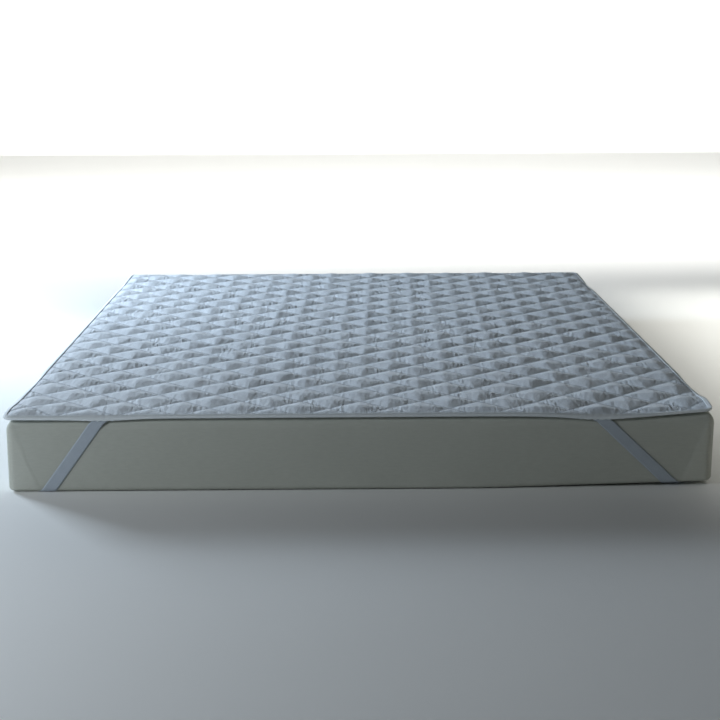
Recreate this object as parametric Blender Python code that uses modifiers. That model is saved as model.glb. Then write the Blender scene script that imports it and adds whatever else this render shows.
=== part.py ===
"""A quilted mattress pad, bound all round and strapped at its corners onto a plain, thin mattress.

Metres, +Z up. The origin is on the floor under the middle of the mattress, and the foot of the bed is at -Y.
The pad is laid out flat first, as it is quilted and cut. settled() then lays each point onto the mattress.
"""

import math
from collections import namedtuple
from functools import cache

import bmesh
import bpy
from mathutils import Matrix, Vector

NAME = "quilted_mattress_pad"

# Mattress
WIDTH = 1.500
LENGTH = 2.000
MATTRESS_TOP = 0.164
UPRIGHT_RADIUS = 0.035
TOP_RADIUS = 0.022
FOOT_RADIUS = 0.012
RIM_LIFT = 0.0016  # the rim of the underside stands off the floor, which leaves room for the straps
RIM_WIDTH = 0.150
RIM_SLOPE = 0.020

# Quilted panel
OVERHANG = 0.0007  # of the panel past the mattress's faces
GAP = 0.0003
DIAMOND = 0.1282  # from corner to corner of a diamond, the same both ways
PITCH = DIAMOND / math.sqrt(2)  # between two seams
SKEW = math.radians(1.7)  # the rows of diamonds run this far clockwise of the pad's edges
CROSSING = Vector((0.011, -0.243, 0.0))  # a place where two seams cross
SEAM_THICKNESS = 0.003
CROWN_THICKNESS = 0.0105
CROWN_ROUNDNESS = 0.4  # nearer 0 is a squarer pillow
CROWN_RING = 0.018  # from a diamond's seams to the ring round its crown
LOFT_REACH = 0.036  # from the border to where the filling has its full loft
WHOLE_SHARE = 0.97  # of a diamond's area: a face over it is a whole diamond
LEAST_SHARE = 0.2  # of a diamond's area: a cut one under it stays thin
LONGEST_BORDER_EDGE = 0.060
SNAP = 0.002
ON_OUTLINE = 0.0005  # a point nearer to the outline than this is on it

# Edge of the pad
PAD_CORNER_RADIUS = 0.020
DROOP = 0.0055
BorderLine = namedtuple("BorderLine", "inset fall")
BORDER = (BorderLine(0.0, 1.0), BorderLine(0.0095, 0.16), BorderLine(0.021, 0.0))
TAPE_REACH = 0.0080  # of the folded tape over the panel's edge
TAPE_INSIDE, TAPE_OUTSIDE = 0.0022, 0.0031  # half the height of the fold
TAPE_FOLD = 0.0016
TapePoint = namedtuple("TapePoint", "out height")
TAPE_SECTION = (
    TapePoint(-TAPE_REACH, TAPE_OUTSIDE),
    TapePoint(0.0004, TAPE_OUTSIDE),
    TapePoint(0.0013, TAPE_FOLD),
    TapePoint(0.0013, -TAPE_FOLD),
    TapePoint(0.0004, -TAPE_OUTSIDE),
    TapePoint(-TAPE_REACH, -TAPE_OUTSIDE),
    TapePoint(-TAPE_REACH, -TAPE_INSIDE),
    TapePoint(0.0004, -TAPE_INSIDE),
    TapePoint(0.0004, TAPE_INSIDE),
    TapePoint(-TAPE_REACH, TAPE_INSIDE),
)  # round the folded tape, out from the panel's edge and up from its middle

# Places where the seams were drawn along the bed in sewing
Drift = namedtuple("Drift", "x y reach_x reach_y shift")
DRIFTS = (
    Drift(0.70, -0.10, 0.22, 0.50, 0.022),
    Drift(-0.30, -0.10, 0.16, 0.28, -0.012),
    Drift(0.00, 0.62, 0.90, 0.22, 0.014),
)

# Corners of the pad: how far each tip is pushed out of square and up
Tip = namedtuple("Tip", "side end out_x out_y up")
TIPS = (
    Tip(-1, -1, 0.004, 0.001, 0.000),
    Tip(1, -1, -0.001, -0.004, 0.0045),
    Tip(-1, 1, 0.002, 0.000, 0.001),
    Tip(1, 1, 0.002, 0.000, 0.001),
)
TIP_REACH = 0.26

# Elastic straps: start is along the end of the mattress from its corner, lean is off upright
STRAP_WIDTH = 0.026
STRAP_THICKNESS = 0.001
STRAP_PULL = 0.0025  # how much further the edge of the pad droops where a strap pulls it
PULL_REACH = 0.15
TUCK = 0.0060  # of a strap's end under the binding
TUCK_DROP = 0.00110  # from the binding's underside to the middle of the strap
TUCK_START = 0.0033  # below the binding's underside, where a strap leaves the mattress's face
TUCK_BENDS = (0.0006, 0.0018)  # in from there
TOLERANCE = GAP / 10
Strap = namedtuple("Strap", "name side end start lean")
STRAPS = (
    Strap("strap_front_left", -1, -1, 0.195, math.radians(36)),
    Strap("strap_front_right", 1, -1, 0.232, math.radians(44)),
    Strap("strap_rear_left", -1, 1, 0.200, math.radians(40)),
    Strap("strap_rear_right", 1, 1, 0.200, math.radians(40)),
)

HALF_PANEL = Vector((WIDTH / 2 + OVERHANG, LENGTH / 2 + OVERHANG, 0.0))
SIDES = (Vector((1, 0, 0)), Vector((-1, 0, 0)), Vector((0, 1, 0)), Vector((0, -1, 0)))

CREASE_ANGLE = math.radians(50)
Finish = namedtuple("Finish", "color roughness")
FINISHES = {
    "mattress": Finish((0.30, 0.30, 0.27, 1), 0.90),
    "pad": Finish((0.74, 0.79, 0.84, 1), 0.80),
    "pad_binding": Finish((0.62, 0.66, 0.68, 1), 0.85),
    "strap": Finish((0.50, 0.56, 0.62, 1), 0.80),
}


def clear_scene():
    for old in list(bpy.data.objects):
        bpy.data.objects.remove(old, do_unlink=True)


def new_collection(name):
    collection = bpy.data.collections.new(name)
    bpy.context.scene.collection.children.link(collection)
    return collection


def material(name, finish):
    made = bpy.data.materials.new(name)
    made.use_nodes = True
    shader = made.node_tree.nodes["Principled BSDF"]
    shader.inputs["Base Color"].default_value = finish.color
    shader.inputs["Roughness"].default_value = finish.roughness
    shader.inputs["Metallic"].default_value = 0.0
    return made


def finished_object(bm, name, finish, collection):
    """Makes the named object of a mesh, with its own material."""
    bmesh.ops.recalc_face_normals(bm, faces=bm.faces[:])
    mesh = bpy.data.meshes.new(name)
    bm.to_mesh(mesh)
    bm.free()
    mesh.shade_smooth()
    mesh.set_sharp_from_angle(angle=CREASE_ANGLE)
    made = bpy.data.objects.new(name, mesh)
    made.data.materials.append(material(name, finish))
    collection.objects.link(made)
    return made


def bump(distance, reach):
    """A smooth hump: 1 at its middle and about a third at its reach."""
    return math.exp(-((distance / reach) ** 2))


# Laying the flat pad onto the mattress


def edge_inset(x, y):
    """How far a point of the flat pad is inside the panel's outline, negative outside it."""
    return min(HALF_PANEL.x - abs(x), HALF_PANEL.y - abs(y))


def fall(inset):
    """The share of the edge's droop at a distance inside the outline."""
    if inset >= BORDER[-1].inset:
        return 0.0
    outer, inner = next((a, b) for a, b in zip(BORDER, BORDER[1:]) if inset < b.inset)
    along = (inset - outer.inset) / (inner.inset - outer.inset)
    return outer.fall + (inner.fall - outer.fall) * along


def side_start(strap):
    """Where a strap's other end is, along the side of the mattress from the same corner."""
    wrap = strap_section()[-1].length - FOOT_RADIUS
    return (strap.start + wrap) / math.tan(strap.lean) - wrap


def droop(x, y):
    """How far the pad's edge hangs below its flat part, more where a strap pulls on it."""
    pull = 0.0
    for strap in STRAPS:
        corner_x, corner_y = strap.side * WIDTH / 2, strap.end * LENGTH / 2
        at_end = math.hypot(x - corner_x + strap.side * strap.start, y - corner_y)
        at_side = math.hypot(x - corner_x, y - corner_y + strap.end * side_start(strap))
        pull += bump(at_end, PULL_REACH) + bump(at_side, PULL_REACH)
    return DROOP + STRAP_PULL * pull


def drift(x, y):
    """How far the seams are drawn along the bed; nothing at its head and foot."""
    shift = sum(d.shift * bump(x - d.x, d.reach_x) * bump(y - d.y, d.reach_y) for d in DRIFTS)
    return shift * max(0.0, 1 - (y / HALF_PANEL.y) ** 2)


def rounded(x, y):
    """Moves the points near a square corner onto rings about the middle of its rounding."""
    radius = PAD_CORNER_RADIUS
    across = abs(x) - (HALF_PANEL.x - radius)
    along = abs(y) - (HALF_PANEL.y - radius)
    if across <= 0 or along <= 0:
        return x, y
    scale = max(across, along) / math.hypot(across, along)
    new_x = HALF_PANEL.x - radius + across * scale
    new_y = HALF_PANEL.y - radius + along * scale
    return math.copysign(new_x, x), math.copysign(new_y, y)


def settled(x, y, height):
    """Where a point of the flat pad lies, at a height above the pad's underside."""
    z = MATTRESS_TOP + GAP + height - droop(x, y) * fall(edge_inset(x, y))
    place = Vector((*rounded(x, y + drift(x, y)), z))
    for tip in TIPS:
        corner = Vector((tip.side * HALF_PANEL.x, tip.end * HALF_PANEL.y))
        share = bump((Vector((x, y)) - corner).length, TIP_REACH)
        lift = tip.up * max(0.0, fall(edge_inset(x, y)))
        place += share * Vector((tip.side * tip.out_x, tip.end * tip.out_y, lift))
    return place


# Mattress


def round_edges(bm, edges, radius, segments):
    bm.normal_update()
    bmesh.ops.bevel(bm, geom=edges, offset=radius, segments=segments, profile=0.5, affect="EDGES")


def edges_at(bm, test):
    return [edge for edge in bm.edges if all(test(v.co) for v in edge.verts)]


def outline_edges(bm, height):
    """The edges at a height where an upright face of the mattress meets a level one."""
    bm.normal_update()
    level = edges_at(bm, lambda co: abs(co.z - height) < GAP)
    return [edge for edge in level if len({abs(face.normal.z) > 0.5 for face in edge.link_faces}) == 2]


def lower_underside(bm):
    """Leaves a rim round the underside and lowers what is inside it to the floor."""
    bm.normal_update()
    underside = min(bm.faces, key=lambda face: face.calc_center_median().z)
    for width in (RIM_WIDTH, RIM_SLOPE):
        bmesh.ops.inset_region(bm, faces=[underside], thickness=width, use_even_offset=True)
    for vert in underside.verts:
        vert.co.z = 0.0


def mattress(collection):
    bm = bmesh.new()
    bmesh.ops.create_cube(bm, size=1.0)
    height = MATTRESS_TOP - RIM_LIFT
    bmesh.ops.scale(bm, vec=(WIDTH, LENGTH, height), verts=bm.verts[:])
    bmesh.ops.translate(bm, vec=(0, 0, RIM_LIFT + height / 2), verts=bm.verts[:])
    lower_underside(bm)
    upright = [edge for edge in bm.edges if abs(edge.verts[0].co.z - edge.verts[1].co.z) > height / 2]
    round_edges(bm, upright, UPRIGHT_RADIUS, 4)
    round_edges(bm, outline_edges(bm, MATTRESS_TOP), TOP_RADIUS, 4)
    round_edges(bm, outline_edges(bm, RIM_LIFT), FOOT_RADIUS, 3)
    return finished_object(bm, "mattress", FINISHES["mattress"], collection)


# Quilted panel


def cut(bm, side, inset, trim):
    """Cuts the flat sheet along a line parallel to one side, and drops what is outside it if asked."""
    bmesh.ops.bisect_plane(
        bm,
        geom=bm.verts[:] + bm.edges[:] + bm.faces[:],
        dist=SNAP,
        plane_co=side * (abs(side.dot(HALF_PANEL)) - inset),
        plane_no=side,
        use_snap_center=True,
        clear_outer=trim,
    )


def quilted_sheet():
    """The flat sheet: diamonds sewn on the skew, cut to the panel's outline, with the border's lines."""
    bm = bmesh.new()
    rows = 2 * math.ceil((HALF_PANEL.length + CROSSING.length) / PITCH)
    bmesh.ops.create_grid(bm, x_segments=rows, y_segments=rows, size=rows * PITCH / 2)
    turn = Matrix.Rotation(math.radians(45) - SKEW, 3, "Z")
    bmesh.ops.rotate(bm, verts=bm.verts[:], cent=(0, 0, 0), matrix=turn)
    bmesh.ops.translate(bm, verts=bm.verts[:], vec=CROSSING)
    for line in BORDER:
        for side in SIDES:
            cut(bm, side, line.inset, trim=line.inset == 0)
    divide_border(bm)
    return bm


def divide_border(bm):
    """Halves the long edges along the border until they are short enough to follow its droop."""
    while True:
        long = [
            edge
            for edge in edges_at(bm, lambda co: edge_inset(co.x, co.y) < BORDER[-1].inset + SNAP / 2)
            if edge.calc_length() > LONGEST_BORDER_EDGE
        ]
        if not long:
            return
        bmesh.ops.subdivide_edges(bm, edges=long, cuts=1)


def quilt_position(x, y):
    """A point's place counted in seams of either direction, whole numbers on the seams."""
    dx, dy = x - CROSSING.x, y - CROSSING.y
    across = (dx * math.cos(SKEW) - dy * math.sin(SKEW)) / DIAMOND
    along = (dx * math.sin(SKEW) + dy * math.cos(SKEW)) / DIAMOND
    return across + along, across - along


def thickness(x, y):
    """The panel's thickness: thin along the seams and the border, full at each diamond's crown."""
    first, second = quilt_position(x, y)
    pillow = abs(math.sin(math.pi * first) * math.sin(math.pi * second)) ** CROWN_ROUNDNESS
    rise = min(1.0, max(0.0, (edge_inset(x, y) - BORDER[1].inset) / LOFT_REACH))
    loft = CROWN_THICKNESS - SEAM_THICKNESS
    return SEAM_THICKNESS + loft * pillow * math.sin(rise * math.pi / 2)


def raise_crowns(bm):
    """Gives each whole diamond a ring and a middle point, and each large cut one a middle point."""
    tops = [face for face in bm.faces if face.normal.z > 0.5]
    whole = [face for face in tops if face.calc_area() > WHOLE_SHARE * PITCH**2]
    large = [
        face
        for face in tops
        if LEAST_SHARE * PITCH**2 < face.calc_area() <= WHOLE_SHARE * PITCH**2
        and edge_inset(*face.calc_center_median()[:2]) > BORDER[-1].inset
    ]
    bmesh.ops.inset_individual(bm, faces=whole, thickness=CROWN_RING, use_even_offset=True)
    bmesh.ops.poke(bm, faces=whole + large)


def pad(collection):
    bm = quilted_sheet()
    bmesh.ops.solidify(bm, geom=bm.faces[:], thickness=-SEAM_THICKNESS)
    bmesh.ops.recalc_face_normals(bm, faces=bm.faces[:])
    middle = sum(v.co.z for v in bm.verts) / len(bm.verts)
    raise_crowns(bm)
    bmesh.ops.triangulate(bm, faces=bm.faces[:])
    for vert in bm.verts:
        x, y, z = vert.co
        vert.co = settled(x, y, thickness(x, y) if z > middle else 0.0)
    return finished_object(bm, "pad", FINISHES["pad"], collection)


# Binding


def outline_points():
    """The flat panel's outline, point after point, each with the way out of the panel there."""
    bm = quilted_sheet()
    rim = [v.co.copy() for v in bm.verts if v.is_boundary]
    bm.free()
    rim.sort(key=lambda co: math.atan2(co.y / HALF_PANEL.y, co.x / HALF_PANEL.x))
    for co in rim:
        on_side = abs(abs(co.x) - HALF_PANEL.x) < ON_OUTLINE
        on_end = abs(abs(co.y) - HALF_PANEL.y) < ON_OUTLINE
        yield co, Vector((math.copysign(on_side, co.x), math.copysign(on_end, co.y), 0))


def pad_binding(collection):
    """The tape: its folded section carried round the panel's outline."""
    bm = bmesh.new()
    half = SEAM_THICKNESS / 2
    sections = []
    for co, outward in outline_points():
        flat = [(co + outward * point.out, half + point.height) for point in TAPE_SECTION]
        sections.append([bm.verts.new(settled(at.x, at.y, height)) for at, height in flat])
    for section, following in zip(sections, sections[1:] + sections[:1]):
        loops = [*zip(section, section[1:] + section[:1], following[1:] + following[:1], following)]
        for corners in loops:
            bm.faces.new(corners)
    return finished_object(bm, "pad_binding", FINISHES["pad_binding"], collection)


# Straps

SectionPoint = namedtuple("SectionPoint", "length out z")


def binding_underside(out):
    """The height of the binding's underside, out from the mattress's face, where no strap pulls."""
    inset = OVERHANG - out
    return MATTRESS_TOP + GAP + SEAM_THICKNESS / 2 - TAPE_OUTSIDE - DROOP * fall(inset)


@cache
def strap_section():
    """A strap's middle line: from the underside, round the mattress's foot, up its face, to its tuck."""
    off_face = GAP + STRAP_THICKNESS / 2
    radius = FOOT_RADIUS + off_face
    centre_z = RIM_LIFT + FOOT_RADIUS
    turn = [math.radians(angle) for angle in (-90, -60, -30, 0)]
    places = [(radius * math.cos(a) - FOOT_RADIUS, centre_z + radius * math.sin(a)) for a in turn]
    places.append((off_face, binding_underside(0) - TUCK_START))
    for out in (*[off_face - bend for bend in TUCK_BENDS], -TUCK):
        places.append((out, binding_underside(out) - TUCK_DROP))
    section = [SectionPoint(0.0, *places[0])]
    for place in places[1:]:
        step = math.dist(place, section[-1][1:])
        section.append(SectionPoint(section[-1].length + step, *place))
    return section


def wrapped(section, length):
    """The point at a length along a strap's section, as out from the face and up."""
    before, after = next((a, b) for a, b in zip(section, section[1:]) if length <= b.length + TOLERANCE)
    share = (length - before.length) / (after.length - before.length)
    return before.out + (after.out - before.out) * share, before.z + (after.z - before.z) * share


def strap_ribbon(strap, section):
    """The strap unrolled: x from the side face and y from the end face, and under FOOT_RADIUS is up a face."""
    top = FOOT_RADIUS - section[-1].length
    bm = bmesh.new()
    bmesh.ops.create_grid(bm, x_segments=1, y_segments=1, size=1.0)
    bmesh.ops.scale(bm, vec=(STRAP_WIDTH / 2, 1.0, 1.0), verts=bm.verts[:])
    bmesh.ops.rotate(bm, verts=bm.verts[:], cent=(0, 0, 0), matrix=Matrix.Rotation(strap.lean, 3, "Z"))
    bmesh.ops.translate(bm, verts=bm.verts[:], vec=(strap.start, top, 0))
    for point in reversed(section):
        at = FOOT_RADIUS - point.length
        for across in (Vector((1, 0, 0)), Vector((0, 1, 0))):
            bmesh.ops.bisect_plane(
                bm,
                geom=bm.verts[:] + bm.edges[:] + bm.faces[:],
                dist=TOLERANCE,
                plane_co=across * at,
                plane_no=across,
                clear_inner=at == top,
            )
    return bm


def strap_place(strap, section, flat):
    """Where a point of the unrolled strap lies on the mattress."""
    from_side, from_end, z = flat.x, flat.y, section[0].z
    if from_end < FOOT_RADIUS:
        out, z = wrapped(section, FOOT_RADIUS - from_end)
        from_end = -out
    elif from_side < FOOT_RADIUS:
        out, z = wrapped(section, FOOT_RADIUS - from_side)
        from_side = -out
    place = Vector((strap.side * (WIDTH / 2 - from_side), strap.end * (LENGTH / 2 - from_end), z))
    tucked = place.z > binding_underside(0) - TUCK_START - SNAP
    if tucked:
        place.z -= (droop(place.x, place.y) - DROOP) * fall(edge_inset(place.x, place.y))
    return place


def elastic_strap(strap, collection):
    section = strap_section()
    bm = strap_ribbon(strap, section)
    for vert in bm.verts:
        vert.co = strap_place(strap, section, vert.co)
    made = finished_object(bm, strap.name, FINISHES["strap"], collection)
    shell = made.modifiers.new("thickness", "SOLIDIFY")
    shell.thickness = STRAP_THICKNESS
    shell.offset = 0
    return made


def main():
    clear_scene()
    collection = new_collection(NAME)
    mattress(collection)
    pad(collection)
    pad_binding(collection)
    for strap in STRAPS:
        elastic_strap(strap, collection)


main()
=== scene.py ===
"""The looks of a quilted mattress pad, bound all round and strapped onto a plain, thin mattress.

Metres, +Z up, and the foot of the bed is at -Y. The pad is laid out flat first, as it is quilted and cut.
settled() then lays each point onto the mattress.
"""

import math
from collections import namedtuple

import bmesh
import bpy
import numpy as np
from mathutils import Matrix, Vector, noise


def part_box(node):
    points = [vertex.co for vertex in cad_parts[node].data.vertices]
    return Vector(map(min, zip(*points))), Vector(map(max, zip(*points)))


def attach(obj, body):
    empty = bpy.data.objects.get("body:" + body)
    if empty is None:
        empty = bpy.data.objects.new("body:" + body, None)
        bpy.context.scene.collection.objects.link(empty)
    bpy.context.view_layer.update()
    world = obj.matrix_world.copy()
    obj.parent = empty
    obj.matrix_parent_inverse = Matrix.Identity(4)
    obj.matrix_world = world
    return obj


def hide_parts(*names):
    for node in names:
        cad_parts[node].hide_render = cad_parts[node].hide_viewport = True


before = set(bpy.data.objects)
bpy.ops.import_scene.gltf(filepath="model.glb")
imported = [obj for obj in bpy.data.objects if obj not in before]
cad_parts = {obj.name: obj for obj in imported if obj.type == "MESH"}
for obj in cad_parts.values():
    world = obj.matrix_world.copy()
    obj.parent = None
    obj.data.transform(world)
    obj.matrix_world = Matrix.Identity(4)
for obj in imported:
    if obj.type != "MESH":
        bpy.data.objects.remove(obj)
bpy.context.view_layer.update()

BODY = "root"

# Mattress
MATTRESS_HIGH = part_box("mattress")[1]
HALF_WIDTH = MATTRESS_HIGH.x
HALF_LENGTH = MATTRESS_HIGH.y
MATTRESS_TOP = MATTRESS_HIGH.z
CORNER_RADII = {(-1, -1): 0.016, (1, -1): 0.020, (1, 1): 0.045, (-1, 1): 0.035}
TOP_RADIUS = 0.030
FOOT_RADIUS = 0.010
FOLD_FOOT = 0.679  # from the middle, where the slanting fold at each corner of the cover meets the floor
FOLD_LEAN = 0.40  # outwards for each metre up
FOLD_THICKNESS = 0.0009
FOLD_WANDER = 0.03
FOLD_EDGE = (-0.005, 0.007)  # over which the fold's edge rises
RIM_LIFT = 0.0016
RIM_WIDTH = 0.150
RIM_SLOPE = 0.020
COVER_STEP = 0.009  # between two points of the cover
CORNER_POINTS = 13  # round each of its corners
FOOT_RINGS = 7  # round its foot
EDGE_RINGS = 8  # round its top edge
RIM_INSETS = (0.080, 0.030)  # of the rings under the mattress
TOP_INSETS = (0.060, 0.090, 0.130, 0.200)  # of the rings on top of it
SLACK_START = 0.26  # along the front, where its foot starts to draw up and in towards the right corner
SLACK_REACH = 0.10  # under the mattress from its front
SLACK_FOOT = (0.002, 0.018, 0.007)  # at the corner's foot

# Quilted panel
OVERHANG = 0.0007  # past the mattress's faces
GAP = 0.0003
HALF_X = HALF_WIDTH + OVERHANG
HALF_Y = HALF_LENGTH + OVERHANG
# The sides in turn: the axis that each faces, which way it faces and which way it is walked
SIDES = ((0, 1, 1), (1, 1, -1), (0, -1, -1), (1, -1, 1))
DIAMOND = 0.1282  # from corner to corner, the same both ways
SKEW = math.radians(1.7)
CROSSING = (0.017, -0.248)
SEAM_THICKNESS = 0.003
LOFT = 0.0073
LOFT_REACH = 0.036
BORDER_WIDTH = 0.021  # of the edge that droops
TAPE_REACH = 0.0080
STEPS = 15  # quads along a diamond's side
CROWDING = 0.3  # of those quads towards the seams
LATTICE_MARGIN = 0.010  # of the lattice, outside the outline that it is cut to
CUT_SNAP = 0.0004
JOIN_REACH = 0.000002  # between points that are in the same place
UNDERSIDE_JOIN_REACH = 0.00001
UNDERSIDE_INSETS = (0.006, 0.012, BORDER_WIDTH, 0.050, 0.090, 0.140, 0.210)
CREST_SHARPNESS = 14.0
CREST_ROUNDNESS = 1.38
CROWN_SHIFT = 0.05
CROWN_SPREAD = 0.15  # of the crowns' height either way, from one diamond to another
LUMP_HEIGHT = 0.0022  # in the filling
LUMPS = (26, 17)  # in a metre across and along
PAD_CORNER_RADIUS = 0.020
DROOP = 0.0028

# Places where the seams were drawn along the bed in sewing
Drift = namedtuple("Drift", "x y reach_x reach_y shift")
DRIFTS = (
    Drift(0.70, -0.10, 0.22, 0.50, 0.022),
    Drift(-0.30, -0.10, 0.16, 0.28, -0.012),
    Drift(0.00, 0.62, 0.90, 0.22, 0.014),
    Drift(0.62, -0.70, 0.35, 0.30, 0.008),
)

# Corners of the pad: how far each tip is pushed out of square and up
Tip = namedtuple("Tip", "side end out_x out_y up")
TIPS = (
    Tip(-1, -1, 0.004, 0.001, 0.000),
    Tip(1, -1, -0.007, -0.004, 0.006),
    Tip(-1, 1, 0.002, 0.000, 0.001),
    Tip(1, 1, 0.002, 0.000, 0.001),
)
TIP_REACH = 0.13

# Places that stand above or below the flat top, of the mattress with its pad and of the pad alone
Rise = namedtuple("Rise", "x y reach height")
MATTRESS_RISES = (
    Rise(0.76, -0.93, 0.06, 0.008),
    Rise(0.56, -1.00, 0.16, -0.005),
    Rise(-0.71, -1.02, 0.08, -0.005),
)
PAD_RISES = (Rise(-0.715, -0.955, 0.06, 0.006),)

# Binding, as the middle of the folded tape
TAPE_WIDTH = 0.0245
TAPE_THICKNESS = 0.0008
TAPE_HALF_HEIGHT = 0.00265
TAPE_STEP = 0.006
TAPE_MITRE = 0.030  # from a corner, over which the tape's sections are crowded together
TAPE_STITCH_INSET = 0.0060
TAPE_WOBBLE = 0.0002
WOBBLES = 90  # in a metre

# Straps
STRAP_WIDTH = 0.026
STRAP_THICKNESS = 0.001
STRAP_LINES = 9  # of points along a strap
STRAP_STEP = 0.003
STRAP_PULL = 0.0045
PULL_REACH = 0.07
TUCK = 0.0060
TUCK_DROP = 0.00110
DROOP_START = 0.010  # below the binding, where a strap starts to follow its droop
DROOP_RUN = 0.008  # over which it comes to follow it
TAPE_OUTSIDE = 0.0031
Strap = namedtuple("Strap", "name side end start lean")
STRAPS = (
    Strap("strap_front_left", -1, -1, 0.204, math.radians(36)),
    Strap("strap_front_right", 1, -1, 0.249, math.radians(44)),
    Strap("strap_rear_left", -1, 1, 0.200, math.radians(40)),
    Strap("strap_rear_right", 1, 1, 0.200, math.radians(40)),
)
GATHER_PITCH = 0.015
GATHER_DEPTH = 0.0011
GATHER_SPREAD = 0.040  # along the edge
GATHER_RUN = 0.045  # in from the edge
FOOT_POINTS = 10  # of a strap's line, round the mattress's foot
TURN_DROP = 3 * TUCK_DROP  # below the binding, where a strap starts to turn in
TURNS = (0.0006, 0.0018)  # in from its line up the face, while it turns in

# Thread
STITCH_LENGTH = 0.0030
STITCH_PITCH = 0.0034
STITCH_WIDTH = 0.00055
STITCH_LIFT = 0.0001
SEAM_STOP = 0.002  # short of the binding

# Cloth
WEAVE_PITCH = 0.0007
WEAVE_HEIGHT = 0.00004
COVER_WEAVE_PITCH = 0.0009
COVER_WEAVE_HEIGHT = 0.00006
RIB_PITCH = 0.0021  # of the elastic's ribs
PICK_PITCH = 0.0009  # of the picks across them

# Camera and light
CAMERA_PLACE = (-0.035, -4.142, 0.933)
CAMERA_PITCH = math.radians(11.69)
CAMERA_YAW = math.radians(-0.60)
CAMERA_ROLL = math.radians(-0.24)
CAMERA_LENS = 76.8
STUDIO_HALF_WIDTH = 12.0
STUDIO_HALF_LENGTH = 9.0
STUDIO_HEIGHT = 5.0
FLOOR_LIGHT_SPREAD = 70  # degrees
WORLD_COLOR = (0.95, 1.0, 0.85, 1)
WORLD_STRENGTH = 0.01


# Materials


class Value:
    """A socket that expressions are written with. Each operation on it adds a Math node."""

    def __init__(self, maker, socket):
        self.maker = maker
        self.socket = socket

    def maths(self, operation, *terms):
        return self.maker.node("Math", {"operation": operation}, dict(enumerate(terms)))

    def __add__(self, other):
        return self.maths("ADD", self, other)

    def __sub__(self, other):
        return self.maths("SUBTRACT", self, other)

    def __mul__(self, other):
        return self.maths("MULTIPLY", self, other)

    def __abs__(self):
        return self.maths("ABSOLUTE", self)

    def fraction(self):
        return self.maths("FRACT", self)

    def floor(self):
        return self.maths("FLOOR", self)

    def sine(self):
        return self.maths("SINE", self)

    def maximum(self, other):
        return self.maths("MAXIMUM", self, other)


class Maker:
    """Makes one material's nodes."""

    def __init__(self, name, roughness, sheen):
        self.material = bpy.data.materials.new(name)
        self.material.use_nodes = True
        self.tree = self.material.node_tree
        self.shader = self.tree.nodes["Principled BSDF"]
        self.shader.inputs["Roughness"].default_value = roughness
        self.shader.inputs["Sheen Weight"].default_value = sheen
        self.shader.inputs["Specular IOR Level"].default_value = 0.3

    def node(self, kind, settings=(), sockets=(), output=0):
        made = self.tree.nodes.new("ShaderNode" + kind)
        for name, value in dict(settings).items():
            setattr(made, name, value)
        for name, value in dict(sockets).items():
            self.feed(made.inputs[name], value)
        return Value(self, made.outputs[output])

    def feed(self, socket, value):
        if isinstance(value, Value):
            self.tree.links.new(value.socket, socket)
        else:
            socket.default_value = value

    def finish(self, name, value):
        self.feed(self.shader.inputs[name], value)

    def place(self, layer):
        """The flat cloth's own coordinates, in metres unless the layer says otherwise."""
        return self.node("UVMap", {"uv_map": layer})

    def parts(self, vector):
        made = self.node("SeparateXYZ", sockets={0: vector})
        return [Value(self, output) for output in made.socket.node.outputs]

    def scaled(self, vector, x, y, z=1.0):
        return self.node("VectorMath", {"operation": "MULTIPLY"}, {0: vector, 1: (x, y, z)})

    def cloud(self, vector, scale, detail=2.0):
        """Noise from 0 to 1 about a half."""
        return self.node("TexNoise", sockets={"Vector": vector, "Scale": scale, "Detail": detail})

    def smooth(self, value, low, high):
        """0 below the low value and 1 above the high one, eased between them."""
        return self.node("MapRange", {"interpolation_type": "SMOOTHSTEP"}, {0: value, 1: low, 2: high})

    def mix(self, factor, first, second):
        """The first colour at 0 and the second at 1."""
        return self.node("Mix", {"data_type": "RGBA"}, {0: factor, 6: first, 7: second}, output=2)

    def weave(self, vector, pitch):
        """The height of a plain weave, from 0 to 1, with threads a pitch apart."""
        across, along, _ = self.parts(vector)
        turns = 2 * math.pi / pitch
        return (across * turns).sine() * (along * turns).sine() * 0.5 + 0.5

    def relief(self, height):
        """Feeds the shader's normal with a height in metres."""
        sockets = {"Height": height, "Strength": 1.0, "Distance": 1.0}
        self.finish("Normal", self.node("Bump", sockets=sockets))


def quilted_cotton():
    """Bluish white cotton over loose filling, with small creases beside the seams and painted shade along
    them.
    """
    maker = Maker("quilted_cotton", 0.85, 0.15)
    flat = maker.place("flat")
    first, second, _ = maker.parts(maker.place("quilt"))
    across = first.fraction() + second.fraction() - 1
    cell = maker.node("CombineXYZ", sockets={0: first.floor(), 1: second.floor()})
    temper = maker.node("TexWhiteNoise", {"noise_dimensions": "2D"}, {"Vector": cell})
    near_tips = maker.smooth(abs(across), 0.12, 0.55)
    creases = maker.cloud(maker.scaled(flat, 125.0, 34.0), 1.0, 3.0) - 0.5
    puckers = maker.cloud(maker.scaled(flat, 55.0, 22.0), 1.0, 4.0) - 0.5
    strength = near_tips * (temper * 0.0033 + 0.0012)
    weave = maker.weave(flat, WEAVE_PITCH)
    maker.relief(creases * strength + puckers * 0.0030 + weave * WEAVE_HEIGHT)
    slubs = maker.cloud(maker.scaled(flat, 240.0, 110.0), 1.0, 2.0)
    tone = maker.cloud(flat, 3.0, 4.0) * 0.35 + slubs * 0.65
    cloth = maker.mix(tone, (0.55, 0.61, 0.68, 1), (0.90, 0.95, 1.0, 1))
    # Painted shade: the cloth is mixed darker in a thin band along every seam, standing in for the shade in
    # the seams' channels.
    beside = abs(first.fraction() - 0.5).maximum(abs(second.fraction() - 0.5))
    painted_seam_shade = maker.smooth(beside, 0.440, 0.490) * 0.65
    maker.finish("Base Color", maker.mix(painted_seam_shade, cloth, (0.32, 0.36, 0.41, 1)))
    return maker.material


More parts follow.
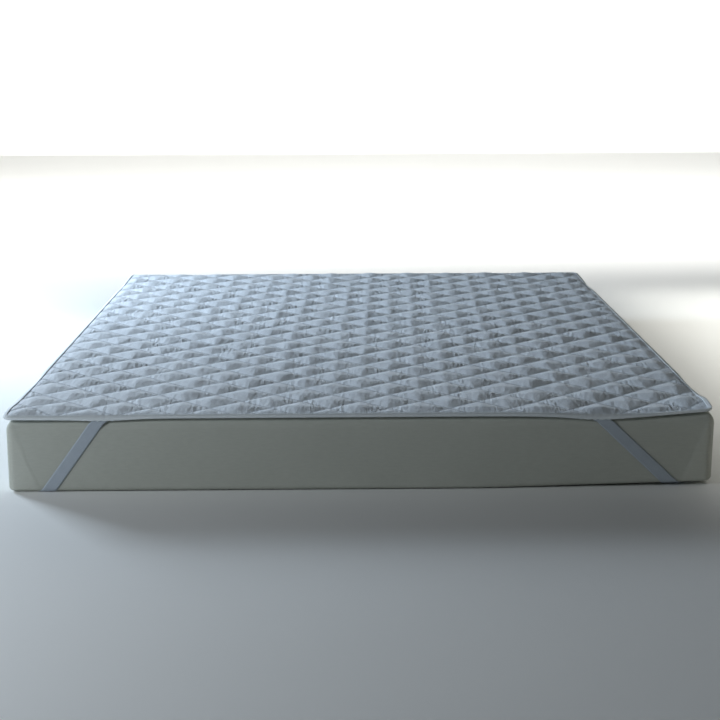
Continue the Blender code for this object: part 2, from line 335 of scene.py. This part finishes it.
def binding_tape():
    """Plain cotton tape, a little greyer than the panel."""
    maker = Maker("binding_tape", 0.85, 0.1)
    flat = maker.place("flat")
    tone = maker.cloud(flat, 14.0, 3.0)
    maker.finish("Base Color", maker.mix(tone, (0.71, 0.765, 0.80, 1), (0.81, 0.855, 0.88, 1)))
    puckers = maker.cloud(maker.scaled(flat, 30.0, 160.0), 1.0, 2.0)
    maker.relief(puckers * 0.0006 + maker.weave(flat, WEAVE_PITCH) * WEAVE_HEIGHT)
    return maker.material


def elastic():
    """Woven elastic: fine ribs along the strap and closer picks across it."""
    maker = Maker("elastic", 0.75, 0.1)
    flat = maker.place("flat")
    across, along, _ = maker.parts(flat)
    ribs = abs((across * (math.pi / RIB_PITCH)).sine())
    picks = abs((along * (math.pi / PICK_PITCH)).sine())
    tone = maker.cloud(flat, 60.0, 3.0)
    maker.finish("Base Color", maker.mix(tone * ribs, (0.42, 0.475, 0.54, 1), (0.53, 0.585, 0.65, 1)))
    maker.relief(ribs * 0.00018 + picks * 0.00006)
    return maker.material


def mattress_cover():
    """Thin, matt cover cloth, light grey with a warm cast, folded over itself slantwise at each corner; the
    folded triangles are tinted lighter as painted light.
    """
    maker = Maker("mattress_cover", 0.9, 0.1)
    flat = maker.place("flat")
    place = maker.node("TexCoord", output=3)
    tone = maker.cloud(place, 6.0, 4.0)
    fleck = maker.cloud(maker.scaled(place, 60.0, 60.0, 260.0), 1.0, 4.0)
    along, _, up = maker.parts(place)
    wander = (maker.cloud(place, 9.0, 1.0) - 0.5) * FOLD_WANDER
    past = abs(along) - FOLD_FOOT + wander - up * FOLD_LEAN
    folded = maker.smooth(past, *FOLD_EDGE)
    # Tone and flecks are the cloth's own; the folded triangles are mixed lighter as painted light, standing
    # in for light caught by the fold.
    flecked_tone_and_painted_light = tone * 0.30 + fleck * 0.50 + folded * 0.28
    maker.finish("Base Color", maker.mix(flecked_tone_and_painted_light, (0.43, 0.445, 0.40, 1), (0.60, 0.615, 0.555, 1)))
    slack = maker.cloud(maker.scaled(place, 9.0, 9.0, 14.0), 1.0, 3.0)
    weave = maker.weave(flat, COVER_WEAVE_PITCH)
    maker.relief(slack * 0.0022 + folded * FOLD_THICKNESS + weave * COVER_WEAVE_HEIGHT)
    return maker.material


def thread():
    maker = Maker("thread", 0.6, 0.0)
    tone = maker.cloud(maker.node("TexCoord", output=3), 900.0, 1.0)
    maker.finish("Base Color", maker.mix(tone, (0.66, 0.70, 0.75, 1), (0.80, 0.84, 0.88, 1)))
    return maker.material


# Laying the flat pad onto the mattress


def bump(distance, reach):
    """A smooth hump: 1 at its middle and about a third at its reach."""
    return np.exp(-((distance / reach) ** 2))


def edge_inset(x, y):
    """How far a point of the flat pad is inside the panel's outline, negative outside it."""
    return np.minimum(HALF_X - np.abs(x), HALF_Y - np.abs(y))


def fall(inset):
    """The share of the edge's droop at a distance inside the outline."""
    return np.maximum(0.0, 1 - inset / BORDER_WIDTH) ** 3


def binding_underside(out):
    """The height of the binding's underside, out from the mattress's face, where no strap pulls."""
    return MATTRESS_TOP + GAP + SEAM_THICKNESS / 2 - TAPE_OUTSIDE - DROOP * fall(OVERHANG - out)


def side_start(strap):
    """Where a strap's other end is, along the side of the mattress from the same corner."""
    wrap = strap_section()[-1].length - FOOT_RADIUS
    return (strap.start + wrap) / math.tan(strap.lean) - wrap


def attachments(x, y):
    """The distances of a point from each end of each strap: along the pad's edge, and in from it."""
    for strap in STRAPS:
        from_side, from_end = HALF_WIDTH - strap.side * x, HALF_LENGTH - strap.end * y
        yield from_side - strap.start, from_end
        yield from_end - side_start(strap), from_side


def droop(x, y):
    """How far the pad's edge hangs below its flat part, more where a strap pulls on it."""
    pull = sum(bump(np.hypot(along, inward), PULL_REACH) for along, inward in attachments(x, y))
    return DROOP + STRAP_PULL * pull


def gathers(x, y):
    """The folds that a strap's pull gathers the edge into, which run in from the edge."""
    folds = sum(
        np.cos(2 * math.pi * along / GATHER_PITCH) * bump(along, GATHER_SPREAD) * bump(inward, GATHER_RUN)
        for along, inward in attachments(x, y)
    )
    return GATHER_DEPTH * folds


def drift(x, y):
    """How far the seams are drawn along the bed; nothing at its head and foot."""
    shift = sum(d.shift * bump(x - d.x, d.reach_x) * bump(y - d.y, d.reach_y) for d in DRIFTS)
    return shift * np.maximum(0.0, 1 - (y / HALF_Y) ** 2)


def rounded(x, y):
    """Moves the points near a square corner onto rings about the middle of its rounding."""
    across = np.abs(x) - (HALF_X - PAD_CORNER_RADIUS)
    along = np.abs(y) - (HALF_Y - PAD_CORNER_RADIUS)
    near = (across > 0) & (along > 0)
    scale = np.where(near, np.maximum(across, along) / np.hypot(across, along), 1.0)
    new_x = np.where(near, HALF_X - PAD_CORNER_RADIUS + across * scale, np.abs(x))
    new_y = np.where(near, HALF_Y - PAD_CORNER_RADIUS + along * scale, np.abs(y))
    return np.copysign(new_x, x), np.copysign(new_y, y)


def raised(rises, x, y):
    """How far the top stands above its flat height."""
    return sum(rise.height * bump(np.hypot(x - rise.x, y - rise.y), rise.reach) for rise in rises)


def settled(x, y, height):
    """Where points of the flat pad lie, at heights above the pad's underside."""
    edge = fall(edge_inset(x, y))
    new_x, new_y = rounded(x, y + drift(x, y))
    z = MATTRESS_TOP + GAP + height - droop(x, y) * edge
    for tip in TIPS:
        share = bump(np.hypot(x - tip.side * HALF_X, y - tip.end * HALF_Y), TIP_REACH)
        new_x = new_x + share * tip.side * tip.out_x
        new_y = new_y + share * tip.end * tip.out_y
        z = z + share * tip.up * edge
    z = z + raised(MATTRESS_RISES + PAD_RISES, x, y)
    return np.column_stack((new_x, new_y, z))


def eased(points):
    """Draws the mattress's foot up and in towards its front right corner, and gives its top its rises."""
    x, y, z = points.T
    up = z / MATTRESS_TOP
    share = np.clip((x - SLACK_START) / (HALF_WIDTH - SLACK_START), 0, 1)
    share = share * bump(y + HALF_LENGTH, SLACK_REACH) * np.clip(1 - up, 0, 1)
    moved = points + share[:, None] * SLACK_FOOT
    moved[:, 2] += raised(MATTRESS_RISES, x, y) * up**2
    return moved


# Quilting


def quilt_position(x, y):
    """A point's place counted in seams of either direction, whole numbers on the seams."""
    dx, dy = x - CROSSING[0], y - CROSSING[1]
    across = (dx * math.cos(SKEW) - dy * math.sin(SKEW)) / DIAMOND
    along = (dx * math.sin(SKEW) + dy * math.cos(SKEW)) / DIAMOND
    return across + along, across - along


def flat_position(first, second):
    """Where a place counted in seams is on the flat panel."""
    across, along = (first + second) * DIAMOND / 2, (first - second) * DIAMOND / 2
    x = CROSSING[0] + across * math.cos(SKEW) + along * math.sin(SKEW)
    y = CROSSING[1] - across * math.sin(SKEW) + along * math.cos(SKEW)
    return x, y


REACH = math.ceil(math.hypot(HALF_X, HALF_Y) * 2 / DIAMOND) + 2  # seams either way from the crossing
FILLING = np.random.default_rng(7).uniform(-1, 1, (3, 2 * REACH, 2 * REACH))


def quilt_height(x, y):
    """The panel's thickness: thin along the seams and the border, a soft pyramid over each diamond."""
    first, second = quilt_position(x, y)
    row, column = np.floor(first).astype(int) + REACH, np.floor(second).astype(int) + REACH
    fullness, lean_first, lean_second = FILLING[:, row, column]
    u, v = 2 * (first % 1) - 1, 2 * (second % 1) - 1
    u = u - CROWN_SHIFT * lean_first * (1 - u * u)
    v = v - CROWN_SHIFT * lean_second * (1 - v * v)
    out = (np.abs(u) ** CREST_SHARPNESS + np.abs(v) ** CREST_SHARPNESS) ** (1 / CREST_SHARPNESS)
    pillow = np.maximum(1 - out**CREST_ROUNDNESS, 0)
    rise = np.clip((edge_inset(x, y) - TAPE_REACH) / LOFT_REACH, 0, 1)
    lumps = np.array([noise.noise((a * LUMPS[0], b * LUMPS[1], 0.0)) for a, b in zip(x, y)])
    loft = LOFT * (1 + CROWN_SPREAD * fullness) + LUMP_HEIGHT * lumps
    return SEAM_THICKNESS + loft * pillow * np.sin(rise * math.pi / 2)


def quilting_lattice():
    """The flat panel as a fine lattice of quads along the seams, cut to its outline."""
    steps = np.arange(STEPS) / STEPS
    crowded = steps - CROWDING * np.sin(2 * math.pi * steps) / (2 * math.pi)
    counts = (np.arange(-REACH, REACH)[:, None] + crowded).ravel()
    first, second = np.meshgrid(counts, counts, indexing="ij")
    x, y = flat_position(first, second)
    near = edge_inset(x, y) > -LATTICE_MARGIN
    keep = near[:-1, :-1] & near[1:, :-1] & near[1:, 1:] & near[:-1, 1:]
    index = np.arange(x.size).reshape(x.shape)
    corners = (index[:-1, :-1], index[1:, :-1], index[1:, 1:], index[:-1, 1:])
    quads = np.stack([corner[keep] for corner in corners], axis=1)
    used, quads = np.unique(quads, return_inverse=True)
    points = np.column_stack((x.ravel()[used], y.ravel()[used], np.zeros(used.size)))
    mesh = bpy.data.meshes.new("lattice")
    mesh.from_pydata(points, [], quads.reshape(-1, 4).tolist())
    bm = bmesh.new()
    bm.from_mesh(mesh)
    bpy.data.meshes.remove(mesh)
    for side in (Vector((1, 0, 0)), Vector((-1, 0, 0)), Vector((0, 1, 0)), Vector((0, -1, 0))):
        reach = HALF_X if side.x else HALF_Y
        bmesh.ops.bisect_plane(
            bm,
            geom=bm.verts[:] + bm.edges[:] + bm.faces[:],
            dist=CUT_SNAP,
            plane_co=side * reach,
            plane_no=side,
            use_snap_center=True,
            clear_outer=True,
        )
    return bm


# Meshes


def shown(mesh, name, finish, slot, *nodes):
    """The piece made of a mesh, riding on the body and standing for CAD nodes."""
    mesh.shade_smooth()
    piece = bpy.data.objects.new(name, mesh)
    bpy.context.scene.collection.objects.link(piece)
    piece.data.materials.append(finish)
    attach(piece, BODY)
    if nodes:
        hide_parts(*nodes)
    return piece


def add_layer(mesh, name, coordinates):
    """A UV layer from each vertex's two coordinates."""
    corners = np.empty(len(mesh.loops), np.int32)
    mesh.loops.foreach_get("vertex_index", corners)
    layer = mesh.uv_layers.new(name=name)
    layer.data.foreach_set("uv", np.asarray(coordinates, np.float32)[corners].ravel())


def grid_faces(rows, columns):
    """Quads between the points of a grid that is listed row by row."""
    faces = []
    for row in range(rows - 1):
        for column in range(columns - 1):
            corner = row * columns + column
            faces.append((corner, corner + 1, corner + columns + 1, corner + columns))
    return faces


def mesh_from(name, points, faces):
    mesh = bpy.data.meshes.new(name)
    mesh.from_pydata(np.asarray(points).tolist(), [], faces)
    mesh.update()
    return mesh


def joined(mesh):
    """The mesh with its points in the same place made one, each face keeping its own flat coordinates."""
    bm = bmesh.new()
    bm.from_mesh(mesh)
    bmesh.ops.remove_doubles(bm, verts=bm.verts[:], dist=JOIN_REACH)
    bm.to_mesh(mesh)
    bm.free()
    return mesh


def solidify(piece, thickness):
    shell = piece.modifiers.new("thickness", "SOLIDIFY")
    shell.thickness = thickness
    shell.offset = 0


# Pieces


def quilted_pad(finish):
    """The quilted top, closed by a plain underside."""
    bm = quilting_lattice()
    top = bm.faces[:]
    rim = [edge for edge in bm.edges if edge.is_boundary]
    under = bm.verts.layers.int.new("under")
    made = bmesh.ops.extrude_edge_only(bm, edges=rim)["geom"]
    for vert in [item for item in made if isinstance(item, bmesh.types.BMVert)]:
        vert[under] = 1
    edge_loop = [item for item in made if isinstance(item, bmesh.types.BMEdge) and item.is_boundary]
    for inset in UNDERSIDE_INSETS:
        edge_loop = inner_ring(bm, edge_loop, inset, under)
    bmesh.ops.contextual_create(bm, geom=edge_loop)
    lower = [vert for vert in bm.verts if vert[under]]
    bmesh.ops.remove_doubles(bm, verts=lower, dist=UNDERSIDE_JOIN_REACH)
    bmesh.ops.recalc_face_normals(bm, faces=bm.faces[:])
    if top[0].normal.z < 0:
        bmesh.ops.reverse_faces(bm, faces=bm.faces[:])
    mesh = bpy.data.meshes.new("quilted_pad")
    below = np.array([vert[under] for vert in bm.verts], bool)
    bm.to_mesh(mesh)
    bm.free()
    flat = np.empty(len(mesh.vertices) * 3)
    mesh.vertices.foreach_get("co", flat)
    x, y = flat.reshape(-1, 3)[:, :2].T
    height = quilt_height(x, y) + gathers(x, y)
    edge = np.clip((BORDER_WIDTH - edge_inset(x, y)) / (BORDER_WIDTH - TAPE_REACH), 0, 1)
    height = np.where(below, gathers(x, y) * edge, height)
    mesh.vertices.foreach_set("co", settled(x, y, height).ravel())
    add_layer(mesh, "flat", np.column_stack((x, y)))
    add_layer(mesh, "quilt", np.column_stack(quilt_position(x, y)))
    piece = shown(mesh, "quilted_pad", finish, "quilted_cotton", "pad")
    return piece


def inner_ring(bm, edges, inset, under):
    """Extrudes a loop of the underside inwards, to a distance inside the outline."""
    made = bmesh.ops.extrude_edge_only(bm, edges=edges)["geom"]
    for vert in [item for item in made if isinstance(item, bmesh.types.BMVert)]:
        vert[under] = 1
        vert.co.x = max(inset - HALF_X, min(HALF_X - inset, vert.co.x))
        vert.co.y = max(inset - HALF_Y, min(HALF_Y - inset, vert.co.y))
    return [item for item in made if isinstance(item, bmesh.types.BMEdge) and item.is_boundary]


def tape_point(axis, side, place, out):
    """A flat point at a distance outside the outline, crowded towards the mitre near a corner."""
    half, length = (HALF_X, HALF_Y) if axis == 0 else (HALF_Y, HALF_X)
    from_corner = length - abs(place)
    if from_corner < TAPE_MITRE:
        from_corner = -out + from_corner * (TAPE_MITRE + out) / TAPE_MITRE
    along = math.copysign(length - from_corner, place)
    across = side * (half + out)
    return (across, along) if axis == 0 else (along, across)


def outline_places():
    """Places round the outline, as the axis that the side faces, its side and the place along it."""
    for axis, side, turn in SIDES:
        length = HALF_Y if axis == 0 else HALF_X
        count = math.ceil(2 * length / TAPE_STEP)
        for step in range(count):
            yield axis, side, turn * (2 * length * step / count - length)


def tape_section():
    """Out from the panel's edge and up from its middle, along the middle of the folded tape."""
    half = TAPE_HALF_HEIGHT
    upper = [(-TAPE_REACH, half - 0.0004), (-0.0070, half + 0.0001), (-TAPE_STITCH_INSET, half - 0.0001)]
    upper += [(-0.0045, half + 0.0001), (-0.0030, half + 0.0001), (-0.0015, half)]
    nose = [(0.0009 * math.cos(a), half * math.sin(a)) for a in np.radians((65, 45, 22, 0, -22, -45, -65))]
    lower = [(out, -height) for out, height in reversed(upper)]
    return upper + nose + lower


def pad_binding(finish):
    """The tape, folded over the panel's edge all round."""
    section = tape_section()
    flat, heights = [], []
    for axis, side, place in outline_places():
        for out, height in section:
            flat.append(tape_point(axis, side, place, out))
            heights.append(height + SEAM_THICKNESS / 2)
    x, y = np.array(flat).T
    wobble = np.array([noise.noise((a * WOBBLES, b * WOBBLES, 0.0)) for a, b in zip(x, y)])
    points = settled(x, y, np.array(heights) + gathers(x, y) + TAPE_WOBBLE * wobble)
    points = np.vstack((points, points[: len(section)]))
    rows = len(points) // len(section)
    mesh = mesh_from("pad_binding", points, grid_faces(rows, len(section)))
    lengths = np.repeat(np.arange(rows) * TAPE_STEP, len(section))
    widths = np.tile(np.linspace(0, TAPE_WIDTH, len(section)), rows)
    add_layer(mesh, "flat", np.column_stack((widths, lengths)))
    piece = shown(joined(mesh), "binding", finish, "binding_tape", "pad_binding")
    solidify(piece, TAPE_THICKNESS)
    return piece


SectionPoint = namedtuple("SectionPoint", "length out z")


def strap_section():
    """A strap's middle line from the underside, round the foot, up the face and under the binding."""
    off_face = GAP + STRAP_THICKNESS / 2
    radius = FOOT_RADIUS + off_face
    centre_z = RIM_LIFT + FOOT_RADIUS
    turn = np.radians(np.linspace(-90, 0, FOOT_POINTS))
    places = [(radius * math.cos(a) - FOOT_RADIUS, centre_z + radius * math.sin(a)) for a in turn]
    places.append((off_face, binding_underside(0) - TURN_DROP))
    for out in (off_face - TURNS[0], off_face - TURNS[1], -TUCK):
        places.append((out, binding_underside(out) - TUCK_DROP))
    section = [SectionPoint(0.0, *places[0])]
    for place in places[1:]:
        step = math.dist(place, section[-1][1:])
        section.append(SectionPoint(section[-1].length + step, *place))
    return section


def wrapped(section, length):
    """Out from the face and up, at a length along a strap's section."""
    lengths, outs, heights = np.array(section).T
    return np.interp(length, lengths, outs), np.interp(length, lengths, heights)


def strap_place(strap, section, from_side, from_end):
    """Where points of the unrolled strap lie: under the foot's radius from an edge is up that face."""
    up_end, z_end = wrapped(section, FOOT_RADIUS - from_end)
    up_side, z_side = wrapped(section, FOOT_RADIUS - from_side)
    on_end, on_side = from_end < FOOT_RADIUS, from_side < FOOT_RADIUS
    z = np.where(on_end, z_end, np.where(on_side, z_side, section[0].z))
    x = strap.side * (HALF_WIDTH - np.where(on_side & ~on_end, -up_side, from_side))
    y = strap.end * (HALF_LENGTH - np.where(on_end, -up_end, from_end))
    tucked = np.clip((z - binding_underside(0) + DROOP_START) / DROOP_RUN, 0, 1)
    z = z - tucked * (droop(x, y) - DROOP) * fall(edge_inset(x, y))
    return np.column_stack((x, y, z))


StrapLine = namedtuple("StrapLine", "edge first last offset")


def strap_lines(strap, run, top):
    """Lines along the unrolled strap, each from one binding to the other, and its offset from the middle."""
    lines = []
    start = Vector((strap.start, top))
    for number in range(STRAP_LINES):
        offset = (number / (STRAP_LINES - 1) - 0.5) * STRAP_WIDTH
        edge = start + Vector((run.y, run.x)) * offset
        lines.append(StrapLine(edge, (top - edge.y) / run.y, (edge.x - top) / run.x, offset))
    return lines


def elastic_strap(strap, finish):
    """A flat elastic from the binding at the end, under the mattress's corner, to the one at the side."""
    section = strap_section()
    top = FOOT_RADIUS - section[-1].length
    run = Vector((math.sin(strap.lean), math.cos(strap.lean)))
    lines = strap_lines(strap, run, top)
    lengths = [line.last - line.first for line in lines]
    columns = len(lines)
    count = math.ceil(max(lengths) / STRAP_STEP)
    flat, layer = [], []
    for step in range(count + 1):
        for line in lines:
            at = line.first + (line.last - line.first) * step / count
            flat.append((line.edge.x - run.x * at, line.edge.y + run.y * at))
            layer.append((line.offset, at))
    from_side, from_end = np.array(flat).T
    points = eased(strap_place(strap, section, from_side, from_end))
    mesh = mesh_from(strap.name, points, grid_faces(count + 1, columns))
    add_layer(mesh, "flat", layer)
    piece = shown(mesh, strap.name + "_elastic", finish, "elastic", strap.name)
    solidify(piece, STRAP_THICKNESS)
    sum(lengths) / columns
    return piece


def cover_rings():
    """Inset and height of each ring of the cover, from its underside to its top."""
    rings = [(RIM_WIDTH + RIM_SLOPE, 0.0), (RIM_WIDTH, RIM_LIFT)]
    rings += [(inset, RIM_LIFT) for inset in RIM_INSETS]
    for angle in np.radians(np.linspace(-90, 0, FOOT_RINGS)):
        rings.append((FOOT_RADIUS * (1 - math.cos(angle)), RIM_LIFT + FOOT_RADIUS * (1 + math.sin(angle))))
    low, high = RIM_LIFT + FOOT_RADIUS, MATTRESS_TOP - TOP_RADIUS
    count = math.ceil((high - low) / COVER_STEP)
    rings += [(0.0, low + (high - low) * step / count) for step in range(1, count)]
    for angle in np.radians(np.linspace(0, 90, EDGE_RINGS)):
        rings.append((TOP_RADIUS * (1 - math.cos(angle)), high + TOP_RADIUS * math.sin(angle)))
    rings += [(inset, MATTRESS_TOP) for inset in TOP_INSETS]
    return rings


def mattress_body(finish):
    """The mattress in its plain cover."""
    points, layer = [], []
    rings = cover_rings()
    climb = 0.0
    for number, (inset, z) in enumerate(rings):
        if number:
            climb += math.dist((inset, z), rings[number - 1])
        ring = cover_ring(inset)
        for run, at in ring:
            points.append((at.x, at.y, z))
            layer.append((run, climb))
    columns = len(points) // len(rings)
    faces = grid_faces(len(rings), columns)
    faces.append(tuple(reversed(range(columns))))
    faces.append(tuple(range(len(points) - columns, len(points))))
    mesh = mesh_from("mattress_body", eased(np.array(points)), faces)
    add_layer(mesh, "flat", layer)
    piece = shown(joined(mesh), "mattress_body", finish, "mattress_cover", "mattress")
    return piece


def rounding(corner, inset):
    """The middle and radius of a corner of the ring at a distance inside the mattress's faces."""
    radius = CORNER_RADII[corner]
    middle = Vector((corner[0] * (HALF_WIDTH - radius), corner[1] * (HALF_LENGTH - radius)))
    return middle - max(0.0, inset - radius) * Vector(corner), max(0.0, radius - inset)


def cover_ring(inset):
    """Points round the mattress, each with its length along the widest ring."""
    ring, run = [], 0.0
    corners = ((1, -1), (1, 1), (-1, 1), (-1, -1))
    for number, corner in enumerate(corners):
        middle, reach = rounding(corner, inset)
        begin = math.radians(90 * number - 90)
        for share in np.linspace(0, 1, CORNER_POINTS):
            angle = begin + share * math.pi / 2
            along = run + CORNER_RADII[corner] * share * math.pi / 2
            ring.append((along, middle + reach * Vector((math.cos(angle), math.sin(angle)))))
        run, start = ring[-1]
        following = corners[(number + 1) % 4]
        middle, reach = rounding(following, inset)
        end = middle + reach * Vector((math.cos(angle), math.sin(angle)))
        half = HALF_WIDTH if number % 2 else HALF_LENGTH
        straight = half * 2 - CORNER_RADII[corner] - CORNER_RADII[following]
        count = math.ceil(straight / COVER_STEP)
        for step in range(1, count):
            ring.append((run + straight * step / count, start.lerp(end, step / count)))
        run += straight
    return ring + [(run, ring[0][1])]


# Thread


def stitches(name, starts, ends, ups, finish, slot):
    """One mesh of small, tapered stitches between points."""
    starts, ends, ups = (np.asarray(values, float) for values in (starts, ends, ups))
    middle = (starts + ends) / 2
    along = ends - starts
    across = np.cross(ups, along)
    across *= STITCH_WIDTH / 2 / np.linalg.norm(across, axis=1)[:, None]
    rise = ups * STITCH_WIDTH / 2
    corners = np.stack([starts, ends, middle + across, middle - across, middle + rise, middle - rise], axis=1)
    pattern = ((0, 2, 4), (2, 1, 4), (1, 3, 4), (3, 0, 4), (2, 0, 5), (1, 2, 5), (3, 1, 5), (0, 3, 5))
    faces = (np.arange(len(starts))[:, None, None] * 6 + np.array(pattern)).reshape(-1, 3)
    mesh = mesh_from(name, corners.reshape(-1, 3), faces.tolist())
    return shown(mesh, name, finish, slot)


def seam_stitches(finish):
    """Stitches along the seams, one piece for each direction that they run."""
    steps = np.arange(-REACH, REACH, STITCH_PITCH / (DIAMOND / math.sqrt(2)))
    half = STITCH_LENGTH / 2 / (DIAMOND / math.sqrt(2))
    seams, along = np.meshgrid(np.arange(-REACH, REACH), steps, indexing="ij")
    seams, along = seams.ravel(), along.ravel()
    for name, place in (
        ("seam_stitches_one_way", lambda shift: flat_position(seams, along + shift)),
        ("seam_stitches_other_way", lambda shift: flat_position(along + shift, seams)),
    ):
        x, y = place(0)
        inside = edge_inset(x, y) > TAPE_REACH + SEAM_STOP
        ends = []
        for shift in (-half, half):
            x, y = (values[inside] for values in place(shift))
            ends.append(settled(x, y, SEAM_THICKNESS + gathers(x, y) + STITCH_LIFT))
        ups = np.tile((0.0, 0.0, 1.0), (len(ends[0]), 1))
        stitches(name, *ends, ups, finish, "quilted_cotton")


def binding_stitches(finish):
    """The row of stitches that holds the binding on."""
    starts, ends = [], []
    for axis, side, turn in SIDES:
        length = (HALF_Y if axis == 0 else HALF_X) - TAPE_STITCH_INSET
        count = math.floor(2 * length / STITCH_PITCH)
        for step in range(count):
            place = turn * (2 * length * (step + 0.5) / count - length)
            for shift, found in ((-STITCH_LENGTH / 2, starts), (STITCH_LENGTH / 2, ends)):
                across, along = side * ((HALF_X if axis == 0 else HALF_Y) - TAPE_STITCH_INSET), place + shift
                found.append((across, along) if axis == 0 else (along, across))
    height = SEAM_THICKNESS / 2 + TAPE_HALF_HEIGHT + TAPE_THICKNESS / 2 + STITCH_LIFT
    laid = []
    for flat in (starts, ends):
        x, y = np.array(flat).T
        laid.append(settled(x, y, height + gathers(x, y)))
    ups = np.tile((0.0, 0.0, 1.0), (len(starts), 1))
    stitches("binding_stitches", *laid, ups, finish, "binding_tape")


# Studio


def camera():
    data = bpy.data.cameras.new("camera")
    data.lens = CAMERA_LENS
    made = bpy.data.objects.new("camera", data)
    bpy.context.scene.collection.objects.link(made)
    turn = Matrix.Rotation(CAMERA_YAW, 4, "Z") @ Matrix.Rotation(math.pi / 2 - CAMERA_PITCH, 4, "X")
    made.matrix_world = Matrix.Translation(CAMERA_PLACE) @ turn @ Matrix.Rotation(CAMERA_ROLL, 4, "Z")
    bpy.context.scene.camera = made


def softbox(name, place, aim, width, height, power, color):
    """A soft area light, which the camera does not see."""
    data = bpy.data.lights.new(name, "AREA")
    data.shape = "RECTANGLE"
    data.size, data.size_y = width, height
    data.energy = power
    data.color = color
    made = bpy.data.objects.new(name, data)
    bpy.context.scene.collection.objects.link(made)
    made.location = place
    made.rotation_euler = (Vector(aim) - Vector(place)).to_track_quat("-Z", "Y").to_euler()
    made.visible_camera = False
    return made


def flagged(light, lit, spread):
    """Narrows a light and flags it off everything but one object."""
    light.data.spread = math.radians(spread)
    receivers = bpy.data.collections.new(light.name + "_lit")
    receivers.objects.link(lit)
    light.light_linking.receiver_collection = receivers


def floor():
    """A pale floor that turns up into a wall far behind the head of the bed."""
    x, y, top = STUDIO_HALF_WIDTH, STUDIO_HALF_LENGTH, STUDIO_HEIGHT
    points = [(-x, -y, 0), (x, -y, 0), (x, y, 0), (-x, y, 0), (x, y, top), (-x, y, top)]
    mesh = mesh_from("floor", points, [(0, 1, 2, 3), (3, 2, 4, 5)])
    made = bpy.data.objects.new("floor", mesh)
    bpy.context.scene.collection.objects.link(made)
    maker = Maker("floor_finish", 0.7, 0.0)
    tone = maker.cloud(maker.node("TexCoord", output=3), 2.0, 3.0)
    maker.finish("Base Color", maker.mix(tone, (0.88, 0.88, 0.87, 1), (0.91, 0.91, 0.90, 1)))
    made.data.materials.append(maker.material)
    return made


def studio():
    camera()
    ground = floor()
    softbox("window_side", (-2.3, 0.85, 0.92), (0.0, 0.2, 0.15), 0.9, 0.5, 66.0, (0.84, 1.0, 1.17))
    softbox("front_left", (-2.3, -2.4, 1.3), (-0.6, -1.0, 0.1), 1.0, 0.8, 26.5, (0.92, 1.0, 1.07))
    softbox("right_fill", (3.1, -1.7, 1.0), (0.7, -0.9, 0.1), 1.2, 1.2, 3.4, (1.0, 1.0, 0.88))
    softbox("backdrop", (0.0, 2.8, 3.0), (0.0, 8.5, 0.2), 10.0, 1.0, 600.0, (1.0, 1.0, 0.97))
    right_floor = softbox("right_floor", (1.5, 0.2, 0.7), (1.5, 0.2, 0.0), 1.0, 2.8, 10.0, (1.0, 1.0, 0.94))
    flagged(right_floor, ground, FLOOR_LIGHT_SPREAD)
    world = bpy.data.worlds.new("studio")
    world.use_nodes = True
    background = world.node_tree.nodes["Background"]
    background.inputs["Color"].default_value = WORLD_COLOR
    background.inputs["Strength"].default_value = WORLD_STRENGTH
    bpy.context.scene.world = world
    bpy.context.scene.view_settings.view_transform = "Standard"


def main():
    studio()
    quilted_pad(quilted_cotton())
    pad_binding(binding_tape())
    elastic_finish = elastic()
    for strap in STRAPS:
        elastic_strap(strap, elastic_finish)
    mattress_body(mattress_cover())
    white_thread = thread()
    seam_stitches(white_thread)
    binding_stitches(white_thread)


main()
